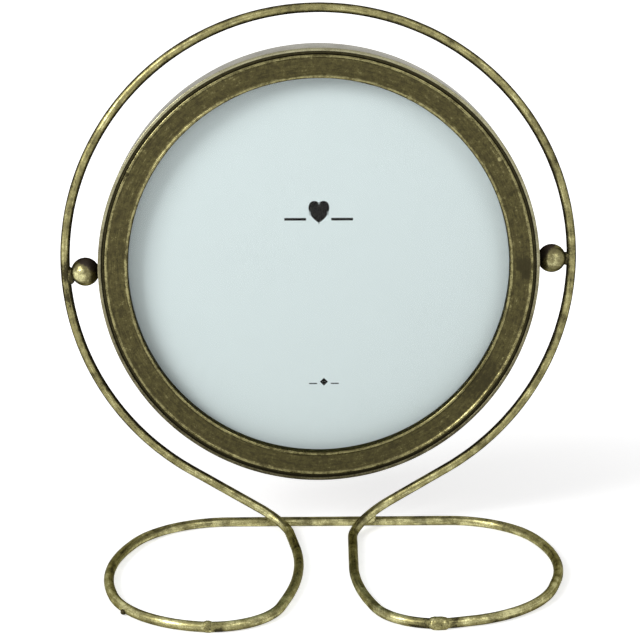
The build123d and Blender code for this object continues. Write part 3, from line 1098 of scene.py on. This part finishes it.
class PHOTO_FRAME_OT_wires(bpy.types.Operator):
    """Bend the two wires and weld their ends together"""

    bl_idname = "photo_frame.wires"
    bl_label = "Wires"

    def execute(self, context):
        wire = context.scene.photo_frame_wire
        radius = wire.diameter / 2
        lines = {side: side_line(side, radius) for side in SIDES}
        lengths = {side: line_length(line) for side, line in lines.items()}
        halves = {s: (WELD_LENGTH[s] / 2 - WELD_LAP) / lengths[s] for s in SIDES}
        inner = {s: lengths[s] * (1 - WELD_SHARE[s] + halves[s]) for s in SIDES}
        whole = [*reversed(lines[-1]), *hoop_arc(), *lines[1]]
        loops = lines[-1] + lines[1][-2::-1]
        loop_start = lengths[-1] * (WELD_SHARE[-1] + halves[-1])
        loop_end = lengths[-1] + lengths[1] * (1 - WELD_SHARE[1] - halves[1])
        values = {
            "Step": wire.step,
            "Sides": wire.sides,
            "Radius": radius,
            "Dent Depth": wire.hammer_depth,
            "Dent Size": 3.5 * MM,
            "Seed": (1.0, 2.0, 3.0),
            "Dark Towards": tuple(HOOP_MIDDLE),
            "Material": made["finish"]["wire"],
        }
        runs = {
            "hoop_wire": (whole, inner[-1], line_length(whole) - inner[1]),
            "base_wire": (loops, loop_start, loop_end),
        }
        for name, (points, start, end) in runs.items():
            between = {**values, "Start": start, "End": end}
            mesh = line_mesh(name, points)
            piece = grow_piece(name, mesh, "wire", between, "stand", "wire_brass")
            if name == "base_wire":
                add_spatter(piece, lines[-1], radius)
        for side, label in SIDES.items():
            place, run = place_on(lines[side], lengths[side] * WELD_SHARE[side])
            thick = WELD_DIAMETER[side] / 2
            shape = (WELD_LENGTH[side] / 2 + WELD_TAPER, thick, thick)
            name = "butt_weld_" + label
            add_weld(name, "wire_brass", "joint", place, shape, 0.16, 3.0 + side, run, 0.7)
        for name, (place, shape) in TACK_WELDS.items():
            add_weld(name, "wire_brass", "joint", place, shape, 0.25, 6.0)
        return {"FINISHED"}


class PHOTO_FRAME_OT_balls(bpy.types.Operator):
    """Turn the two balls and weld them to the hoop"""

    bl_idname = "photo_frame.balls"
    bl_label = "Balls"

    def execute(self, context):
        case = context.scene.photo_frame_case
        flat = BALL_FLAT_DEPTH - BALL_RADIUS
        flat_radius = math.sqrt(BALL_RADIUS**2 - flat**2)
        hole_end = flat + BALL_HOLE_DEPTH
        first = math.atan2(flat, flat_radius)
        steps = 40
        arc = []
        for i in range(steps + 1):
            angle = first + (math.pi / 2 - first) * i / steps
            arc.append((BALL_RADIUS * math.cos(angle), BALL_RADIUS * math.sin(angle)))
        arc[-1] = (0.0, BALL_RADIUS)
        hole = [(0.0, hole_end), (BALL_HOLE_RADIUS, hole_end), (BALL_HOLE_RADIUS, flat)]
        # Painted shade: each ball is darker on its side towards the case and the top
        dark_side = {-1: Vector((0.5, 0.3, 0.85)), 1: Vector((-0.8, 0.25, 0.45))}
        points = [Vector((x, y, 0)) for x, y in hole + arc]
        run = [line_length(points[: i + 1]) for i in range(len(points))]
        empty = [0.0] * len(points)
        for side, label in SIDES.items():
            name = "ball_" + label
            mesh = line_mesh(name, points, {"run": run, "rub_and_sheen": empty, "shade": empty})
            values = {
                "Segments": case.ball_segments,
                "Grain Spread": BALL_RADIUS,
                "Dent Depth": 0.06 * MM,
                "Dent Size": 2.2 * MM,
                "Seed": (5.0 + side, 1.0, 2.0),
                "Dark Side": tuple(dark_side[side]),
                "Place": tuple(pivot_point(side, BALL_OUT)),
                "Turn": (0.0, side * math.radians(90.0) - PIVOT_SLANT, 0.0),
                "Material": made["finish"]["ball"],
            }
            grow_piece(name, mesh, "turned", values, "stand", "ball_brass")
            weld_out = BALL_OUT + BALL_RADIUS + BALL_WIRE_GAP / 2
            spot = pivot_point(side, weld_out) - Vector((0, 0, BALL_WELD_DROP[side]))
            half = BALL_WELD_WIDTH / 2
            shape = (half, half, BALL_WELD_HEIGHT[side] / 2)
            add_weld("ball_weld_" + label, "ball_brass", "weld", spot, shape, 0.22, 8.0 + side)
        return {"FINISHED"}


def ring_piece(node, section, finish, case, seed):
    """A ring of the case, turned from its section."""
    values = {
        "Segments": case.segments,
        "Grain Spread": 7.0 * MM,
        "Dent Depth": case.dent_depth,
        "Dent Size": 9.0 * MM,
        "Seed": seed,
        "Place": tuple(CASE_MIDDLE),
        "Turn": tuple(TO_BACK),
        "Material": made["finish"][finish],
    }
    grow_piece(node, section, "turned", values, "case", "case_brass")


class PHOTO_FRAME_OT_case(bpy.types.Operator):
    """Roll the case band and press the front bezel"""

    bl_idname = "photo_frame.case"
    bl_label = "Case"

    def execute(self, context):
        case = context.scene.photo_frame_case
        inner = CASE_RADIUS - BAND_THICKNESS
        back = CASE_HALF_DEPTH
        edge = 0.4 * MM
        corners = [
            (inner, 0),
            (inner, -back),
            (CASE_RADIUS, -back),
            (CASE_RADIUS, back),
            (inner, back),
            (inner, 0),
        ]

        # Painted highlight: the band's front edge is painted lighter
        def band_edge_highlight(radius, along):
            return 0.6 if along < 0.3 * MM - back else 0.0

        def band_shade(radius, along):
            return 0.8 if radius < inner + 0.1 * MM else 0.0

        section = section_line(corners, [edge] * 4, 6, band_edge_highlight, band_shade)
        ring_piece("case_band", section, "band", case, (7.0, 3.0, 1.0))

        front = -back
        face = front + BEAD_HEIGHT
        lip_back = front + LIP_DEPTH
        floor = front + GROOVE_DEPTH
        skirt_back = front + SKIRT_DEPTH
        behind = face + BEZEL_THICKNESS
        skirt = BEZEL_RADIUS - BEZEL_THICKNESS
        flange = inner + PRESS_FIT
        slope = 0.35 * BEAD_WIDTH
        opening = OPENING_RADIUS
        thick = BEZEL_THICKNESS
        corners = [
            (opening, lip_back - 0.5 * thick),
            (opening, front),
            (opening + BEAD_WIDTH - slope, front),
            (opening + BEAD_WIDTH, face),
            (BEZEL_RADIUS - BEAD_WIDTH, face),
            (BEZEL_RADIUS - BEAD_WIDTH + slope, front),
            (BEZEL_RADIUS, front),
            (BEZEL_RADIUS, floor),
            (flange, floor),
            (flange, skirt_back),
            (skirt, skirt_back),
            (skirt, behind + thick),
            (skirt - thick, behind),
            (opening + thick, behind),
            (opening + thick, lip_back),
            (opening, lip_back),
            (opening, lip_back - 0.5 * thick),
        ]
        bead = 0.45 * BEAD_WIDTH
        soft = 0.25 * BEAD_WIDTH
        hard = 0.15 * MM
        bends = [bead, soft, soft, soft, soft, bead] + [hard] * 9

        # The bead crests are made lighter, partly as wear and partly as a painted highlight
        def bezel_crest_rub_and_sheen(radius, along):
            return max(0.0, min(1.0, (front + 0.36 * MM - along) / (0.3 * MM)))

        def bezel_shade(radius, along):
            in_groove = radius > BEZEL_RADIUS - 0.05 * MM and along > front + 0.35 * MM
            return 0.6 if in_groove else 0.14

        section = section_line(corners, bends, 6, bezel_crest_rub_and_sheen, bezel_shade)
        ring_piece("front_bezel", section, "bezel", case, (2.0, 6.0, 4.0))
        return {"FINISHED"}


def button_plate():
    """One turn button, lying with its rivet hole at the origin and its tip towards -X."""
    half_width = 2.1 * MM
    reach = 7.5 * MM
    thickness = 0.9 * MM
    hole = 1.05 * MM
    edge = 0.22 * MM
    dimple_out = 6.912 * MM
    dimple_radius = 1.1 * MM
    dimple_height = 0.5 * MM
    spokes = 96
    rows = 34

    def from_core(spot):
        return (spot - Vector((min(0.0, max(-reach, spot.x)), 0, 0))).length

    outline = []
    for i in range(spokes):
        angle = math.tau * i / spokes
        ray = Vector((math.cos(angle), math.sin(angle), 0))
        low, high = 0.0, 2 * reach
        for _ in range(40):
            middle = (low + high) / 2
            if from_core(ray * middle) < half_width:
                low = middle
            else:
                high = middle
        outline.append(ray * low)
    work = bmesh.new()

    def edge_drop(spot):
        inside = half_width - from_core(spot)
        if inside >= edge:
            return 0.0
        lean = max(0.0, 1 - inside / edge)
        return edge * (1 - math.sqrt(max(0.0, 1 - lean * lean)))

    def dimple(spot):
        away = (spot - Vector((-dimple_out, 0, 0))).length / dimple_radius
        return 0.0 if away >= 1 else dimple_height * math.cos(away * math.pi / 2) ** 0.8

    layers = []
    for back in (True, False):
        grid = []
        for k in range(rows + 1):
            share = 1 - (1 - k / rows) ** 1.6
            ring = []
            for point in outline:
                start = point.normalized() * hole
                spot = start.lerp(point, share)
                drop = edge_drop(spot)
                height = thickness - drop + dimple(spot) if back else drop
                ring.append(work.verts.new((spot.x, spot.y, height)))
            grid.append(ring)
        layers.append(grid)
        for inner, outer in zip(grid, grid[1:]):
            for i in range(spokes):
                j = (i + 1) % spokes
                work.faces.new((inner[i], outer[i], outer[j], inner[j]))
    for row in (0, rows):
        for i in range(spokes):
            j = (i + 1) % spokes
            top = layers[0][row]
            low = layers[1][row]
            work.faces.new((top[i], top[j], low[j], low[i]))
    bmesh.ops.recalc_face_normals(work, faces=work.faces)
    mesh = bpy.data.meshes.new("turn button")
    work.to_mesh(mesh)
    work.free()
    return mesh


class PHOTO_FRAME_OT_buttons(bpy.types.Operator):
    """Press the turn buttons and set their rivets"""

    bl_idname = "photo_frame.buttons"
    bl_label = "Turn Buttons"

    def execute(self, context):
        finish = made["finish"]["button"]
        plate = button_plate()
        back = CASE_MIDDLE + Vector((0, BOARD_BACK, 0))
        around = {"Radius": BUTTON_RING_RADIUS, "Turn": tuple(TO_BACK), "Material": finish}
        for number in range(BUTTON_COUNT):
            values = {
                **around,
                "Count": 1,
                "First Angle": BUTTON_FIRST_ANGLE + math.tau * number / BUTTON_COUNT,
                "Place": tuple(back + Vector((0, AXIAL_PLAY, 0))),
            }
            body = f"button_{number + 1}"
            grow_piece("turn_" + body, plate.copy(), "around", values, body, "hardware_brass")
        head = 1.0 * MM
        tail = -FLANGE_THICKNESS - 0.5 * MM
        corners = [
            (0, tail),
            (1.6 * MM, tail),
            (1.6 * MM, -FLANGE_THICKNESS),
            (1.0 * MM, -FLANGE_THICKNESS),
            (1.0 * MM, head),
            (1.9 * MM, head),
            (1.9 * MM, head + 0.8 * MM),
            (0, head + 0.8 * MM),
        ]
        bends = [0.2 * MM, 0.05 * MM, 0.05 * MM, 0.05 * MM, 0.15 * MM, 0.62 * MM]
        section = section_line(corners, bends, 8, none_of, none_of)
        rivets = new_object("button_rivets_skin", section)
        turned = {
            "Segments": 48,
            "Grain Spread": 1.5 * MM,
            "Dent Depth": 0.03 * MM,
            "Dent Size": 1.0 * MM,
            "Seed": (3.0, 3.0, 3.0),
            "Material": finish,
        }
        grown(rivets, made["turned"], turned)
        ring = {"Count": BUTTON_COUNT, "First Angle": BUTTON_FIRST_ANGLE, "Place": tuple(back)}
        grown(rivets, made["around"], {**around, **ring})
        tidy_mesh(rivets.data)
        dress(rivets, "case", "hardware_brass", "button_rivets")
        return {"FINISHED"}


class PHOTO_FRAME_OT_solids(bpy.types.Operator):
    """Paint the solids that keep their own shape"""

    bl_idname = "photo_frame.solids"
    bl_label = "Kept Solids"

    def execute(self, context):
        finish = made["finish"]
        small = ("pivot_screw", "spacer_washer", "friction_washer")
        paints = {
            **{f"{name}_{side}": "hardware" for name in small for side in SIDES.values()},
            "seat_ring": "seat",
            "glass_pane": "glass",
            "photo_card": "card",
            "filler_sheet": "filler",
            "backing_board": "board",
        }
        for name, kind in paints.items():
            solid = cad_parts[name]
            if not solid.material_slots:
                raise RuntimeError(f"{name} has no material slot")
            for slot in solid.material_slots:
                slot.material = finish[kind]
        return {"FINISHED"}


def lamp(name, place, target, size, power):
    """A square area lamp that faces a point."""
    data = bpy.data.lights.new(name, "AREA")
    data.shape = "SQUARE"
    data.size = size
    data.energy = power
    light = bpy.data.objects.new(name, data)
    bpy.context.scene.collection.objects.link(light)
    light.location = place
    light.rotation_euler = (Vector(target) - Vector(place)).to_track_quat("-Z", "Y").to_euler()


def seen_directly(tree):
    """1 for rays from the camera and for what metal and glass show."""
    path = add_node(tree, "ShaderNodeLightPath").outputs
    seen = maths(tree, "MAXIMUM", path["Is Camera Ray"], path["Is Glossy Ray"])
    return maths(tree, "MAXIMUM", seen, path["Is Transmission Ray"])


class PHOTO_FRAME_OT_stage(bpy.types.Operator):
    """Set the floor, the lamps, the pale room and the camera"""

    bl_idname = "photo_frame.stage"
    bl_label = "Stage"

    def execute(self, context):
        scene = context.scene
        studio = scene.photo_frame_studio
        floor_mesh = bpy.data.meshes.new("floor")
        signs = ((-1, -1), (1, -1), (1, 1), (-1, 1))
        corners = [(x * FLOOR_HALF, y * FLOOR_HALF, 0) for x, y in signs]
        floor_mesh.from_pydata(corners, [], [(0, 1, 2, 3)])
        floor = new_object("floor", floor_mesh)
        material, tree, shader = new_material("Pale floor")
        white = (1.0, 1.0, 1.0, 1.0)
        ground = (*studio.floor, 1.0)
        feed(tree, shader, {"Base Color": ground, "Roughness": 0.9, "Emission Color": white})
        shader.inputs["Specular IOR Level"].default_value = 0.1
        away = vector_maths(tree, "LENGTH", object_place(tree))
        fade = step_between(tree, away, 0.1, 0.4)
        fade = plus(tree, 0.58, times(tree, fade, 0.4))
        lift = times(tree, maths(tree, "MAXIMUM", seen_directly(tree), 0.2), fade)
        tree.links.new(lift, shader.inputs["Emission Strength"])
        floor_mesh.materials.append(material)

        world = bpy.data.worlds.new("Pale room")
        scene.world = world
        world.use_nodes = True
        tree = world.node_tree
        level = add_node(
            tree,
            "ShaderNodeMix",
            {0: seen_directly(tree), 2: studio.room_level, 3: 1.0},
            data_type="FLOAT",
        ).outputs[0]
        background = tree.nodes["Background"]
        feed(tree, background, {"Color": white, "Strength": level})

        lamp("key lamp", KEY_PLACE, CASE_MIDDLE, KEY_SIZE, studio.key_power)
        lamp("fill lamp", FILL_PLACE, CASE_MIDDLE, FILL_SIZE, studio.fill_power)

        data = bpy.data.cameras.new("camera")
        data.lens = CAMERA_LENS
        data.sensor_width = CAMERA_SENSOR
        data.dof.use_dof = False
        camera = bpy.data.objects.new("camera", data)
        scene.collection.objects.link(camera)
        camera.location = CAMERA_PLACE
        camera.rotation_euler = (CAMERA_AIM - camera.location).to_track_quat("-Z", "Y").to_euler()
        scene.camera = camera
        scene.view_settings.view_transform = "Standard"
        return {"FINISHED"}


class PHOTO_FRAME_PT_parts(bpy.types.Panel):
    """Lists the pieces of the photo frame"""

    bl_label = "Round Photo Frame"
    bl_idname = "PHOTO_FRAME_PT_parts"
    bl_space_type = "VIEW_3D"
    bl_region_type = "UI"
    bl_category = "Photo Frame"

    def draw(self, context):
        layout = self.layout
        for step in STEPS:
            layout.operator(step.bl_idname)


STEPS = (
    PHOTO_FRAME_OT_finishes,
    PHOTO_FRAME_OT_wires,
    PHOTO_FRAME_OT_balls,
    PHOTO_FRAME_OT_case,
    PHOTO_FRAME_OT_buttons,
    PHOTO_FRAME_OT_solids,
    PHOTO_FRAME_OT_stage,
)
SETTINGS = {
    "photo_frame_wire": WireSettings,
    "photo_frame_case": CaseSettings,
    "photo_frame_finish": FinishSettings,
    "photo_frame_studio": StudioSettings,
}


def register():
    """Adds the settings, the operators and the panel."""
    for name, kind in SETTINGS.items():
        bpy.utils.register_class(kind)
        setattr(bpy.types.Scene, name, PointerProperty(type=kind))
    for kind in (*STEPS, PHOTO_FRAME_PT_parts):
        bpy.utils.register_class(kind)


def unregister():
    """Takes them out again."""
    for kind in (PHOTO_FRAME_PT_parts, *reversed(STEPS)):
        bpy.utils.unregister_class(kind)
    for name, kind in SETTINGS.items():
        delattr(bpy.types.Scene, name)
        bpy.utils.unregister_class(kind)


def main():
    """Makes every piece in order."""
    register()
    for step in STEPS:
        group, name = step.bl_idname.split(".")
        getattr(getattr(bpy.ops, group), name)()


if __name__ == "__main__":
    main()
